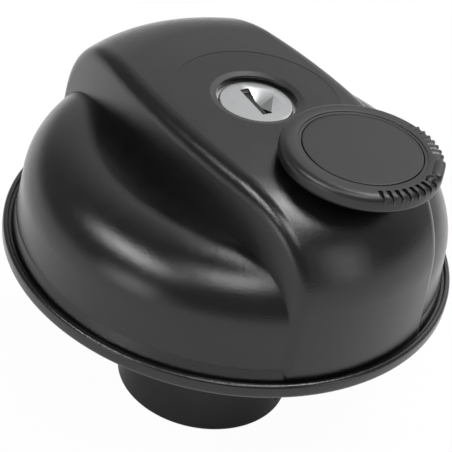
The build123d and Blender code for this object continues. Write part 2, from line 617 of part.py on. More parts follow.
# ---- Free-wheel between grip and plug ----
def latch_bolt():
    """Sliding latch that the crank pin drives out into the notched ring."""
    body = block(2 * LATCH_HALF_LENGTH, LATCH_WIDTH, LATCH_LOW, LATCH_TOP)
    root = LATCH_HALF_LENGTH - 2
    length = LATCH_NOSE_X - root
    nose = block(length, LATCH_NOSE_WIDTH, LATCH_LOW, LATCH_TOP, x=root + length / 2)
    edges = nose.edges().filter_by(Axis.Z).group_by(Axis.X)[-1]
    slot_width = 2 * (CRANK_PIN_RADIUS + LATCH_FIT)
    slot_low = CRANK_Y - CRANK_PIN_RADIUS - LATCH_FIT
    slot_high = CRANK_THROW + CRANK_PIN_RADIUS + LATCH_FIT
    middle = (slot_low + slot_high) / 2
    slot = block(slot_width, slot_high - slot_low, LATCH_LOW - 1, LATCH_TOP + 1, x=CRANK_X, y=middle)
    return body + fillet(edges, LATCH_NOSE_ROUND) - slot


def retaining_plate():
    """Steel ring screwed to the grip that traps it over the plug's flange."""
    plate = tube(PLATE_RADIUS, COLLAR_RADIUS + COLLAR_FIT, PLATE_LOW, PLATE_TOP)
    for place in around(POST_COUNT, POST_CIRCLE, 45):
        plate -= place * disc(PLATE_SCREW_RADIUS + SCREW_FIT, PLATE_LOW - 1, PLATE_TOP + 1)
    return plate


def plate_screws():
    """Screws of the retaining plate, driven up from below."""
    driven_up = Rot(180, 0, 0) * screw(PLATE_SCREW_HEAD, PLATE_SCREW_RADIUS, PLATE_SCREW_LENGTH)
    return [place * Pos(0, 0, PLATE_LOW) * driven_up for place in around(POST_COUNT, POST_CIRCLE, 45)]


def drive_ring():
    """Ring with a notched crown, screwed to the plug's collar."""
    ring = tube(RING_RADIUS, RING_BORE, RING_LOW, RING_BASE_TOP)
    ring += tube(RING_RADIUS, RING_CROWN_RADIUS, RING_BASE_TOP, RING_TOP)
    middle = (RING_RADIUS + RING_CROWN_RADIUS) / 2
    notch = block(RING_RADIUS - RING_CROWN_RADIUS + 2, NOTCH_WIDTH, RING_BASE_TOP, RING_TOP + 1)
    for place in around(NOTCH_COUNT, middle):
        ring -= place * notch
    base = (Align.CENTER, Align.CENTER, Align.MAX)
    depth = RING_SCREW_HEAD - RING_SCREW_RADIUS
    sink = Cone(RING_SCREW_RADIUS + SCREW_FIT, RING_SCREW_HEAD + SCREW_FIT, depth, align=base)
    for place in around(RING_SCREW_COUNT, RING_SCREW_CIRCLE, 30):
        ring -= place * disc(RING_SCREW_RADIUS + SCREW_FIT, RING_LOW - 1, RING_BASE_TOP + 1)
        ring -= place * Pos(0, 0, RING_BASE_TOP) * sink
    return ring


def ring_screws():
    """Countersunk screws that fix the notched ring to the plug."""
    flush = screw(RING_SCREW_HEAD, RING_SCREW_RADIUS, RING_SCREW_LENGTH + 1, countersunk=True)
    places = around(RING_SCREW_COUNT, RING_SCREW_CIRCLE, 30)
    return [place * Pos(0, 0, RING_BASE_TOP) * flush for place in places]


def wavy_ring(radius):
    """Closed curve that rises and falls three times round the axis."""
    middle = (PLATE_TOP + RING_LOW - WAVE_THICKNESS) / 2
    swing = (PLATE_GAP - WAVE_THICKNESS) / 2 - 0.05
    points = []
    for step in range(24):
        turn = radians(15 * step)
        points.append((radius * cos(turn), radius * sin(turn), middle + swing * cos(3 * turn)))
    return Spline(*points, periodic=True)


def wave_washer():
    """Spring washer between the retaining plate and the notched ring."""
    edges = [wavy_ring(radius) for radius in (WAVE_INNER_RADIUS, WAVE_OUTER_RADIUS)]
    sheet = Face.make_surface_from_curves(edges[1].edge(), edges[0].edge())
    return Solid.thicken(sheet, WAVE_THICKNESS)


# ---- Plug ----
def plug_body():
    """Moulded plug: skirt with two windows, valve partition, flange and collar."""
    corners = [
        (0, 0), (PLUG_RADIUS, 0), (PLUG_RADIUS, FLANGE_HEIGHT), (FLANGE_RADIUS, FLANGE_HEIGHT),
        (FLANGE_RADIUS, FLANGE_TOP), (COLLAR_RADIUS, FLANGE_TOP), (COLLAR_RADIUS, RING_LOW), (0, RING_LOW),
    ]
    body = turned(corners, [0, PLUG_EDGE_ROUND, 0, 0.4, 0.4, 0, 0, 0])
    body -= disc(PLUG_BORE, -1, BRACKET_TOP)
    body -= disc(LEDGE_BORE, 0, VALVE_FLOOR)
    body -= disc(VALVE_BORE, 0, VALVE_SEAT + 1)
    body -= disc(PLUG_BORE, VALVE_SEAT, RING_LOW + 1)
    window = block(8, WINDOW_WIDTH, WINDOW_LOW, WINDOW_HIGH)
    edges = window.edges().filter_by(Axis.X)
    window = fillet(edges, 1.0)
    for place in around(2, PLUG_RADIUS, WINDOW_ANGLE):
        body -= place * window
    pilot_low = RING_BASE_TOP - RING_SCREW_LENGTH - 1.2
    for place in around(RING_SCREW_COUNT, RING_SCREW_CIRCLE, 30):
        body -= place * disc(RING_SCREW_RADIUS + SCREW_FIT, pilot_low, RING_LOW + 1)
    return body


def seal_ring():
    """Rubber ring under the flange, with a V groove round its edge."""
    inner = PLUG_RADIUS + 0.1
    middle = FLANGE_HEIGHT - SEAL_THICKNESS / 2
    corners = [
        (inner, SEAL_LOW), (SEAL_RADIUS, SEAL_LOW), (SEAL_RADIUS, middle - 1.1), (SEAL_RADIUS - 2.6, middle),
        (SEAL_RADIUS, middle + 1.1), (SEAL_RADIUS, FLANGE_HEIGHT), (inner, FLANGE_HEIGHT),
    ]
    return turned(corners, [0, 0.5, 0.2, 0.4, 0.2, 0.3, 0])


def bayonet_bracket():
    """Steel ring whose two ears pass out through the windows and lock the plug in the neck."""
    ring = tube(PLUG_BORE - PRESS_GAP, BRACKET_BORE, BRACKET_LOW, BRACKET_TOP)
    reach = PLUG_RADIUS + EAR_REACH
    start = PLUG_BORE - 2
    ear = block(reach - start, EAR_WIDTH, BRACKET_LOW, BRACKET_TOP)
    corners = ear.edges().filter_by(Axis.Z).group_by(Axis.X)[-1]
    ear = fillet(corners, EAR_ROUND)
    for place in around(2, (reach + start) / 2, WINDOW_ANGLE):
        ring += place * ear
    return ring


def baffle_cup():
    """Pressed-in cup that closes the plug's lower end, with six vents."""
    radius = PLUG_BORE - PRESS_GAP
    cup = disc(radius, CUP_LOW, BRACKET_LOW) - disc(radius - CUP_WALL, CUP_LOW + CUP_WALL, BRACKET_LOW + 1)
    for place in around(VENT_COUNT, CUP_VENT_CIRCLE):
        cup -= place * disc(CUP_VENT_RADIUS, CUP_LOW - 1, CUP_LOW + CUP_WALL + 1)
    return cup


# ---- Valve ----
def valve_gasket():
    """Rubber ring on which the pressure valve closes."""
    return tube(VALVE_DISC_RADIUS - 0.2, GASKET_INNER_RADIUS, VALVE_SEAT, VALVE_DISC_LOW)


def pressure_disc():
    """Disc of the pressure valve, bored for the vacuum valve's stem."""
    plate = disc(VALVE_DISC_RADIUS, VALVE_DISC_LOW, VALVE_DISC_TOP)
    return plate - disc(POPPET_STEM_RADIUS + 0.3, VALVE_DISC_LOW - 1, VALVE_DISC_TOP + 1)


def pressure_spring():
    """Spring that holds the pressure valve shut."""
    return coil(PRESSURE_SPRING_RADIUS, PRESSURE_WIRE_RADIUS, VALVE_DISC_TOP, CAGE_HEIGHT, 4.5)


def valve_cage():
    """Pressed-in cage over the valve, with six vents in its roof."""
    radius = PLUG_BORE - PRESS_GAP
    roof = CAGE_HEIGHT + CAGE_WALL
    cage = disc(radius, VALVE_SEAT, roof) - disc(radius - CAGE_WALL, VALVE_SEAT - 1, CAGE_HEIGHT)
    for place in around(VENT_COUNT, CAGE_VENT_CIRCLE, 30):
        cage -= place * disc(CAGE_VENT_RADIUS, CAGE_HEIGHT - 1, roof + 1)
    return cage


def vacuum_poppet():
    """Poppet of the vacuum valve, drawn up against the pressure disc."""
    head = disc(POPPET_RADIUS, VALVE_SEAT, VALVE_DISC_LOW - 0.05)
    return head + disc(POPPET_STEM_RADIUS, VALVE_SEAT, POPPET_TOP)


def vacuum_spring():
    """Light spring that holds the vacuum valve shut."""
    return coil(VACUUM_SPRING_RADIUS, VACUUM_WIRE_RADIUS, VALVE_DISC_TOP, CLIP_LOW, 5)


def vacuum_clip():
    """Push-on clip at the top of the poppet's stem."""
    return tube(CLIP_RADIUS, POPPET_STEM_RADIUS, CLIP_LOW, CLIP_LOW + CLIP_THICKNESS)


# ---- Export ----
NODES = {
    "grip_body": grip_body,
    "dust_cover": dust_cover,
    "cover_inlay": cover_inlay,
    "cover_washer": cover_washer,
    "cover_push_nut": cover_push_nut,
    "lock_housing": lock_housing,
    "housing_screws": housing_screws,
    "lock_barrel": lock_barrel,
    "barrel_face": barrel_face,
    "barrel_circlip": barrel_circlip,
    "key_shutter": key_shutter,
    "shutter_pin": shutter_pin,
    "latch_bolt": latch_bolt,
    "retaining_plate": retaining_plate,
    "plate_screws": plate_screws,
    "drive_ring": drive_ring,
    "ring_screws": ring_screws,
    "wave_washer": wave_washer,
    "plug_body": plug_body,
    "seal_ring": seal_ring,
    "bayonet_bracket": bayonet_bracket,
    "baffle_cup": baffle_cup,
    "valve_gasket": valve_gasket,
    "pressure_disc": pressure_disc,
    "pressure_spring": pressure_spring,
    "valve_cage": valve_cage,
    "vacuum_poppet": vacuum_poppet,
    "vacuum_spring": vacuum_spring,
    "vacuum_clip": vacuum_clip,
}


def save(name, shape):
    """Write one node, a single solid or a group of separate ones."""
    if isinstance(shape, list):
        shape = Compound(children=shape)
    export_step(shape, f"parts/{name}.step")


for node, build in NODES.items():
    save(node, build())
for number in range(WAFER_COUNT):
    save(f"wafer_{number + 1}", wafer(number))
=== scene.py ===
"""Locking fuel filler cap: finishes, detailed pieces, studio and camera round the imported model.

Lengths are in metres. The plug stands on its lower end with its axis on Z, and the grip bar
lies along X.
"""

from __future__ import annotations

import json
import logging
import math
from dataclasses import dataclass, field
from enum import Enum
from typing import Callable, Iterable, Sequence

import bpy
import bmesh
from mathutils import Matrix, Vector

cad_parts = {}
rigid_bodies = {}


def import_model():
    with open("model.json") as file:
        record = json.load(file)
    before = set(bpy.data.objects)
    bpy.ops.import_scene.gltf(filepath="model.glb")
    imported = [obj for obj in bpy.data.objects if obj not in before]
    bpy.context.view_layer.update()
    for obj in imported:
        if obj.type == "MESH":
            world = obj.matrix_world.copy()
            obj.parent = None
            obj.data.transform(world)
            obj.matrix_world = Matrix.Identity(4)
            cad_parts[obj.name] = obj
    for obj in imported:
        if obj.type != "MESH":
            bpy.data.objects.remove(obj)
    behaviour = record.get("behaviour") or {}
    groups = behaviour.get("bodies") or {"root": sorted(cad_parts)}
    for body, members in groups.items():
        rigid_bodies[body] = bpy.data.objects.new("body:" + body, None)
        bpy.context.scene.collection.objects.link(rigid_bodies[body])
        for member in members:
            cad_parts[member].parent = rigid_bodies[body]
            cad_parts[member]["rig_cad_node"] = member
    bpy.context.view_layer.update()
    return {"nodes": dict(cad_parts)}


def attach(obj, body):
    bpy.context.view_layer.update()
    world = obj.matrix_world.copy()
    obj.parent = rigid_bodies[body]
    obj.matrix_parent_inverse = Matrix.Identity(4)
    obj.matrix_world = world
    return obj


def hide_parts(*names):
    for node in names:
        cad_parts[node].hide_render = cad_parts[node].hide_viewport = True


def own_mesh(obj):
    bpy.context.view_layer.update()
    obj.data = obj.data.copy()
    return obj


log = logging.getLogger("filler_cap")

MM = 0.001
IMAGE_SIDE = 452
Colour = tuple[float, float, float]
Point = tuple[float, float, float]
WHITE: Colour = (1.0, 1.0, 1.0)


# ---------------------------------------------------------------------------
# Shader tools
# ---------------------------------------------------------------------------
class Sock:
    """One output socket of a node, with arithmetic that adds Math nodes."""

    def __init__(self, wiring: Wiring, socket: bpy.types.NodeSocket) -> None:
        """Keep the socket and the wiring that it belongs to."""
        self.wiring = wiring
        self.socket = socket

    def _math(self, operation: str, first: Value, second: Value) -> Sock:
        """Add one Math node and return its output."""
        made = self.wiring.node("ShaderNodeMath", {"operation": operation}, {0: first, 1: second})
        return made["Value"]

    def __add__(self, other: Value) -> Sock:
        """Sum with a value."""
        return self._math("ADD", self, other)

    def __radd__(self, other: Value) -> Sock:
        """Sum with a value on the left."""
        return self._math("ADD", other, self)

    def __sub__(self, other: Value) -> Sock:
        """Difference from a value."""
        return self._math("SUBTRACT", self, other)

    def __rsub__(self, other: Value) -> Sock:
        """Difference with a value on the left."""
        return self._math("SUBTRACT", other, self)

    def __mul__(self, other: Value) -> Sock:
        """Product with a value."""
        return self._math("MULTIPLY", self, other)

    def __rmul__(self, other: Value) -> Sock:
        """Product with a value on the left."""
        return self._math("MULTIPLY", other, self)

    def __pow__(self, other: Value) -> Sock:
        """Power of a value."""
        return self._math("POWER", self, other)


Value = float | Sock


class Outputs:
    """The outputs of a node, read by name."""

    def __init__(self, wiring: Wiring, node: bpy.types.Node) -> None:
        """Keep the node."""
        self.wiring = wiring
        self.node = node

    def __getitem__(self, name: str) -> Sock:
        """Return one output socket."""
        return Sock(self.wiring, self.node.outputs[name])


class Wiring:
    """The nodes of one material or world."""

    def __init__(self, tree: bpy.types.NodeTree) -> None:
        """Start with an empty tree."""
        self.tree = tree
        self.tree.nodes.clear()

    def node(
        self,
        kind: str,
        settings: dict[str, object] | None = None,
        sockets: dict[str | int, object] | None = None,
    ) -> Outputs:
        """Add a node.

        Args:
            kind: Blender's name of the node's type.
            settings: Properties of the node.
            sockets: Values or links of its inputs, by name or number.

        Returns:
            The node's outputs.
        """
        made = self.tree.nodes.new(kind)
        for key, value in (settings or {}).items():
            setattr(made, key, value)
        for key, value in (sockets or {}).items():
            self._feed(made.inputs[key], value)
        return Outputs(self, made)

    def step(self, value: Sock, low: float, high: float, full: float = 1.0) -> Sock:
        """Return a smooth step, from nought at one level of a value to the full height at another."""
        sockets = {"Value": value, "From Min": low, "From Max": high, "To Max": full}
        return self.node("ShaderNodeMapRange", {"interpolation_type": "SMOOTHSTEP"}, sockets)["Result"]

    def rays(self) -> tuple[Sock, Sock]:
        """Return the share of rays from the camera, and of mirrored and transmitted ones."""
        path = self.node("ShaderNodeLightPath")
        return path["Is Camera Ray"], path["Is Glossy Ray"] + path["Is Transmission Ray"]

    def _feed(self, socket: bpy.types.NodeSocket, value: object) -> None:
        """Set or link one input; a colour gets full alpha."""
        if isinstance(value, Sock):
            self.tree.links.new(value.socket, socket)
        elif isinstance(value, tuple) and socket.type == "RGBA":
            socket.default_value = (*value, 1.0)
        else:
            socket.default_value = value


class Shader(Wiring):
    """A material under construction, whose surface is one Principled shader."""

    def __init__(self, name: str, **constants: float | Colour) -> None:
        """Start a material.

        Args:
            name: Name of the material.
            constants: Values of the shader's own sockets, with underscores for spaces.
        """
        self.material = bpy.data.materials.new(name)
        self.material.use_nodes = True
        super().__init__(self.material.node_tree)
        settings = {key.replace("_", " "): value for key, value in constants.items()}
        surface = self.node("ShaderNodeBsdfPrincipled", None, settings)
        self.surface = surface.node
        self.node("ShaderNodeOutputMaterial", None, {"Surface": surface["BSDF"]})

    def place(self, scale: Point = (1, 1, 1), turn: Point = (0, 0, 0)) -> Sock:
        """Return Object coordinates, turned and scaled by a Mapping node."""
        coords = self.node("ShaderNodeTexCoord")["Object"]
        sockets = {"Vector": coords, "Rotation": turn, "Scale": scale}
        return self.node("ShaderNodeMapping", {"vector_type": "POINT"}, sockets)["Vector"]

    def noise(self, where: Sock, scale: float, detail: float = 2.0, roughness: float = 0.5) -> Sock:
        """Return a noise between nought and one."""
        sockets = {"Vector": where, "Scale": scale, "Detail": detail, "Roughness": roughness}
        return self.node("ShaderNodeTexNoise", None, sockets)["Fac"]

    def cells(self, where: Sock, scale: float) -> Sock:
        """Return the distance to the cells of a Voronoi pattern."""
        return self.node("ShaderNodeTexVoronoi", None, {"Vector": where, "Scale": scale})["Distance"]

    def blend(self, amount: Value, first: Colour, second: Colour | Sock) -> Sock:
        """Return a mix of two colours."""
        sockets = {"Factor": amount, "A": first, "B": second}
        return self.node("ShaderNodeMix", {"data_type": "RGBA"}, sockets)["Result"]

    def bump(self, height: Sock, depth: float, under: Sock | None = None) -> Sock:
        """Return a normal from a height.

        Args:
            height: Height pattern, nought to one.
            depth: Depth of the pattern in metres.
            under: Normal that this one lies on.

        Returns:
            The bumped normal.
        """
        sockets: dict[str | int, object] = {"Height": height, "Distance": depth, "Strength": 1.0}
        if under is not None:
            sockets["Normal"] = under
        return self.node("ShaderNodeBump", None, sockets)["Normal"]

    def dress(self, **links: Sock) -> bpy.types.Material:
        """Link patterns to the shader's sockets, by name, and return the material."""
        for key, value in links.items():
            self._feed(self.surface.inputs[key.replace("_", " ")], value)
        return self.material


# ---------------------------------------------------------------------------
# Finishes
# ---------------------------------------------------------------------------
EVEN = 0.5  # level about which a noise swings


@dataclass(frozen=True)
class MouldedPlastic:
    """Injection-moulded plastic with a spark-eroded grain."""

    name: str
    colour: Colour
    roughness: float
    grain: float
    grain_size: float = 0.38 * MM
    mottle: float = 0.12
    specular: float = 0.5
    pit_share: float = 0.7
    slow_scale: float = 55.0
    haze_scale: float = 260.0
    grain_gloss: float = 0.10
    haze_gloss: float = 0.05
    lighter_times: float = 1.3
    lighter_by: float = 0.001
    wave_share: float = 0.8

    def material(self) -> bpy.types.Material:
        """Return the material: grain and pits in relief, haze and slow patches in colour and gloss."""
        shader = Shader(self.name, Specular_IOR_Level=self.specular)
        where = shader.place()
        fine = shader.noise(where, 1.0 / self.grain_size, 3.0, 0.62)
        pits = shader.cells(where, self.pit_share / self.grain_size)
        slow = shader.noise(where, self.slow_scale)
        haze = shader.noise(where, self.haze_scale, 3.0)
        rough = self.roughness + (fine - EVEN) * self.grain_gloss
        rough = rough + (slow - EVEN) * self.mottle + (haze - EVEN) * self.haze_gloss
        lighter = tuple(min(1.0, part * self.lighter_times + self.lighter_by) for part in self.colour)
        colour = shader.blend(shader.step(haze * 0.6 + slow * 0.4, 0.35, 0.75), self.colour, lighter)
        grain = shader.bump(fine * 0.7 + pits * 0.5, self.grain)
        wave = shader.bump(slow, self.grain * self.wave_share, grain)
        return shader.dress(Base_Color=colour, Roughness=rough, Normal=wave)


@dataclass(frozen=True)
class Rubber:
    """Matt moulded rubber with a bloom of dust."""

    name: str
    colour: Colour
    specular: float = 0.35
    roughness: float = 0.66
    bloom_gloss: float = 0.16
    dusty_times: float = 1.8
    dusty_by: float = 0.006
    grain: float = 0.012 * MM

    def material(self) -> bpy.types.Material:
        """Return the material: fine grain in relief, dust in colour and gloss."""
        shader = Shader(self.name, Specular_IOR_Level=self.specular)
        where = shader.place()
        fine = shader.noise(where, 3200.0, 3.0, 0.6)
        bloom = shader.noise(where, 120.0, 4.0, 0.6)
        dusty = tuple(part * self.dusty_times + self.dusty_by for part in self.colour)
        colour = shader.blend(shader.step(bloom, 0.45, 0.75), self.colour, dusty)
        rough = self.roughness + bloom * self.bloom_gloss
        return shader.dress(Base_Color=colour, Roughness=rough, Normal=shader.bump(fine, self.grain))


class Working(Enum):
    """How a metal surface was made."""

    PRESSED = "pressed"
    TURNED = "turned"
    CAST = "cast"
    PLATED = "plated"
    DRAWN = "drawn"


@dataclass(frozen=True)
class Relief:
    """Fine marks that a way of working leaves: noise, its depth and its effect on roughness."""

    scale: float
    detail: float
    roughness: float
    depth: float
    gloss: float


RELIEFS: dict[Working, Relief] = {
    Working.PRESSED: Relief(1.0, 3.0, 0.55, 0.0022 * MM, 0.14),
    Working.TURNED: Relief(5000.0, 2.0, 0.5, 0.006 * MM, 0.15),
    Working.CAST: Relief(1900.0, 4.0, 0.65, 0.035 * MM, 0.2),
    Working.PLATED: Relief(1300.0, 4.0, 0.6, 0.008 * MM, 0.18),
    Working.DRAWN: Relief(900.0, 3.0, 0.5, 0.006 * MM, 0.12),
}


@dataclass(frozen=True)
class Metal:
    """Bare or plated metal."""

    name: str
    colour: Colour
    tarnish: Colour
    roughness: float
    working: Working
    tarnish_share: float = 0.7
    tarnish_gloss: float = 0.16
    brushing: Point = (220.0, 5200.0, 5200.0)
    brushing_turn: Point = (0.0, 0.0, 0.35)

    def material(self) -> bpy.types.Material:
        """Return the material: the marks of its working in relief, tarnish in colour and gloss."""
        shader = Shader(self.name, Metallic=1.0)
        where = shader.place()
        stain = shader.noise(where, 150.0, 4.0, 0.6)
        relief = RELIEFS[self.working]
        height = shader.noise(self._marks(shader, where), relief.scale, relief.detail, relief.roughness)
        colour = shader.blend(shader.step(stain, 0.42, 0.72) * self.tarnish_share, self.colour, self.tarnish)
        rough = self.roughness + (stain - EVEN) * self.tarnish_gloss + (height - EVEN) * relief.gloss
        return shader.dress(Base_Color=colour, Roughness=rough, Normal=shader.bump(height, relief.depth))

    def _marks(self, shader: Shader, where: Sock) -> Sock:
        """Return the coordinates that the marks follow: lines on pressed metal, rings on turned."""
        if self.working is Working.PRESSED:
            return shader.place(scale=self.brushing, turn=self.brushing_turn)
        if self.working is Working.TURNED:
            flat = shader.node("ShaderNodeSeparateXYZ", None, {0: where})
            radius = (flat["X"] ** 2 + flat["Y"] ** 2) ** 0.5
            return shader.node("ShaderNodeCombineXYZ", None, {0: radius, 2: flat["Z"]})["Vector"]
        return where


FINISHES: tuple[MouldedPlastic | Rubber | Metal, ...] = (
    MouldedPlastic("grip_plastic", (0.003, 0.003, 0.0034), 0.18, 0.040 * MM, 0.24 * MM),
    MouldedPlastic("cover_plastic", (0.005, 0.005, 0.0055), 0.36, 0.010 * MM, 0.30 * MM),
    MouldedPlastic("inlay_plastic", (0.005, 0.0051, 0.006), 0.38, 0.004 * MM, 0.24 * MM, 0.12, 0.45),
    MouldedPlastic("plug_plastic", (0.003, 0.003, 0.0032), 0.24, 0.006 * MM),
    MouldedPlastic("latch_plastic", (0.55, 0.53, 0.47), 0.40, 0.006 * MM),
    MouldedPlastic("valve_plastic", (0.33, 0.33, 0.31), 0.45, 0.008 * MM),
    Rubber("seal_rubber", (0.012, 0.012, 0.0125)),
    Metal("zinc_casting", (0.52, 0.52, 0.51), (0.36, 0.36, 0.36), 0.46, Working.CAST),
    Metal("bright_steel", (0.45, 0.455, 0.46), (0.38, 0.385, 0.39), 0.34, Working.PRESSED),
    # shutter_steel is near black: painted shade, darkening the flap to stand in for the shade inside the
    # keyway
    Metal("shutter_steel", (0.05, 0.05, 0.05), (0.03, 0.03, 0.03), 0.5, Working.DRAWN),
    Metal("zinc_plated_steel", (0.62, 0.63, 0.61), (0.50, 0.51, 0.46), 0.36, Working.PLATED),
    Metal("screw_steel", (0.55, 0.55, 0.54), (0.42, 0.41, 0.39), 0.34, Working.PLATED),
    Metal("spring_steel", (0.46, 0.46, 0.46), (0.33, 0.32, 0.30), 0.30, Working.DRAWN),
    Metal("wafer_brass", (0.75, 0.56, 0.27), (0.50, 0.36, 0.17), 0.32, Working.PRESSED),
    Metal("brass_turned", (0.78, 0.59, 0.29), (0.55, 0.40, 0.19), 0.28, Working.TURNED),
)


# ---------------------------------------------------------------------------
# Studio
# ---------------------------------------------------------------------------
@dataclass
class SoftBox:
    """Rectangular area lamp that looks at the cap from a direction, in degrees."""

    name: str
    azimuth: float
    elevation: float
    span: tuple[float, float]
    brightness: float
    distance: float = 1.6
    target: Point = (0.0, 0.0, 0.05)

    def build(self) -> None:
        """Hang the lamp; its brightness is that of white paper times a number."""
        across, up = (2 * self.distance * math.tan(math.radians(part / 2)) for part in self.span)
        lamp = bpy.data.lights.new(self.name, "AREA")
        lamp.shape = "RECTANGLE"
        lamp.size, lamp.size_y = across, up
        lamp.energy = self.brightness * math.pi * across * up
        made = bpy.data.objects.new(self.name, lamp)
        bpy.context.scene.collection.objects.link(made)
        turn = Matrix.Rotation(math.radians(90 + self.azimuth), 4, "Z")
        turn = turn @ Matrix.Rotation(math.radians(90 - self.elevation), 4, "X")
        back = turn @ Vector((0.0, 0.0, 1.0))
        made.matrix_world = turn
        made.location = Vector(self.target) + back * self.distance
        log.info("%s hangs at azimuth %.0f, elevation %.0f", self.name, self.azimuth, self.elevation)


@dataclass
class Studio:
    """Floor, soft lamps, pale surroundings and camera."""

    floor_side: float = 6.0
    eye_axes: tuple[Point, Point, Point] = (
        (0.577964, 0.800103, 0.160600),
        (-0.561143, 0.246760, 0.790081),
        (0.592516, -0.546758, 0.591591),
    )
    eye_distance: float = 0.384
    aim: Point = (0.0, 0.0, 0.0372)
    focal_pixels: float = 1798.0
    aim_pixel: tuple[float, float] = (227.8, 242.1)
    sensor: float = 36.0
    floor_white: float = 0.72
    floor_glow: float = 0.97
    floor_mirrored_glow: float = 0.07
    air: float = 0.30
    pale_side: Point = (-0.42, 0.80, 0.42)
    pale_start: float = 0.3
    pale_full: float = 0.95
    pale_level: float = 0.45
    boxes: list[SoftBox] = field(default_factory=list)

    def build(self) -> None:
        """Make everything that isn't the cap."""
        self._camera()
        self._floor()
        self._surroundings()
        for box in self.boxes:
            box.build()

    def _camera(self) -> None:
        """Stand the camera at the viewing angle, turned a little so that the aim falls off centre."""
        right, up, back = (Vector(axis).normalized() for axis in self.eye_axes)
        eye = Vector(self.aim) + back * self.eye_distance
        middle = IMAGE_SIDE / 2
        across = (self.aim_pixel[0] - middle) / self.focal_pixels
        down = (self.aim_pixel[1] - middle) / self.focal_pixels
        forward = (-back - right * across + up * down).normalized()
        side = forward.cross(up).normalized()
        top = side.cross(forward)
        camera = bpy.data.cameras.new("camera")
        camera.sensor_width = self.sensor
        camera.lens = self.focal_pixels * self.sensor / IMAGE_SIDE
        camera.clip_start, camera.clip_end = 0.01, 20.0
        made = bpy.data.objects.new("camera", camera)
        bpy.context.scene.collection.objects.link(made)
        made.matrix_world = Matrix(
            (
                (side.x, top.x, -forward.x, eye.x),
                (side.y, top.y, -forward.y, eye.y),
                (side.z, top.z, -forward.z, eye.z),
                (0, 0, 0, 1),
            )
        )
        bpy.context.scene.camera = made

    def _floor(self) -> None:
        """Lay the plain pale floor, which shows white and keeps the cap's shadow."""
        clear_bench()
        bpy.ops.mesh.primitive_plane_add(size=self.floor_side, location=(0, 0, 0))
        floor = bpy.context.object
        floor.name = "floor"
        material = bpy.data.materials.new("floor_paper")
        material.use_nodes = True
        wiring = Wiring(material.node_tree)
        paper = wiring.node("ShaderNodeBsdfDiffuse", None, {"Color": (self.floor_white,) * 3})["BSDF"]
        glow = wiring.node("ShaderNodeEmission", None, {"Color": WHITE, "Strength": 1.0})["Emission"]
        seen, mirrored = wiring.rays()
        share = seen * self.floor_glow + mirrored * self.floor_mirrored_glow
        mix = wiring.node("ShaderNodeMixShader", None, {"Fac": share, 1: paper, 2: glow})["Shader"]
        wiring.node("ShaderNodeOutputMaterial", None, {"Surface": mix})
        floor.data.materials.append(material)

    def _surroundings(self) -> None:
        """Give the world its even pale light, white where it is seen directly."""
        world = bpy.data.worlds.new("surroundings")
        bpy.context.scene.world = world
        world.use_nodes = True
        wiring = Wiring(world.node_tree)
        way = wiring.node("ShaderNodeTexCoord")["Generated"]
        dot = {"operation": "DOT_PRODUCT"}
        facing = wiring.node("ShaderNodeVectorMath", dot, {0: way, 1: self.pale_side})["Value"]
        pale = wiring.step(facing, self.pale_start, self.pale_full, self.pale_level)
        seen, mirrored = wiring.rays()
        strength = self.air + seen * (1.0 - self.air) + mirrored * pale
        sky = wiring.node("ShaderNodeBackground", None, {"Color": WHITE, "Strength": strength})
        wiring.node("ShaderNodeOutputWorld", None, {"Surface": sky["Background"]})


# ---------------------------------------------------------------------------
# Bench: operators on the piece being modelled
# ---------------------------------------------------------------------------
FLAT = 0.9999  # least share of a normal along the axis on a level face
NEAR = 0.01 * MM  # reach of a test of place
FaceTest = Callable[[Vector, Vector], bool]
EdgeTest = Callable[[Vector, Vector], bool]


def clear_bench() -> None:
    """Leave edit mode and deselect everything."""
    if bpy.context.mode != "OBJECT":
        bpy.ops.object.mode_set(mode="OBJECT")
    bpy.ops.object.select_all(action="DESELECT")


def off_axis(point: Vector) -> float:
    """Return the distance of a point from the Z axis."""
    return math.hypot(point.x, point.y)


